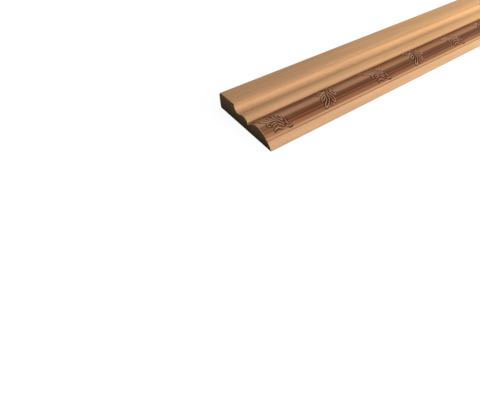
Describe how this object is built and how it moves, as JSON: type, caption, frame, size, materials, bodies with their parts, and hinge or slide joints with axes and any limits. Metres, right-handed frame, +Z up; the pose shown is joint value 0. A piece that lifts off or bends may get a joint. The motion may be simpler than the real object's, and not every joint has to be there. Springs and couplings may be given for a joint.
{
  "type": "carved wood moulding",
  "caption": "Long flat-backed wood moulding with a plain flat, cove, nosed shelf and a rounded band of alternating raised leaves, for trimming panels, doors and furniture.",
  "frame": {"origin": "middle of the flat back, halfway along the length and across the width", "axes": "+X along the length, +Y towards the thick edge, +Z up out of the carved face"},
  "size_m": [2.44, 0.092, 0.018],
  "materials": {
    "carved_wood": "bare planed light hardwood, with the carved band burnished darker and redder"
  },
  "bodies": {
    "root": {"carved_moulding": "carved_wood"}
  },
  "joints": []
}
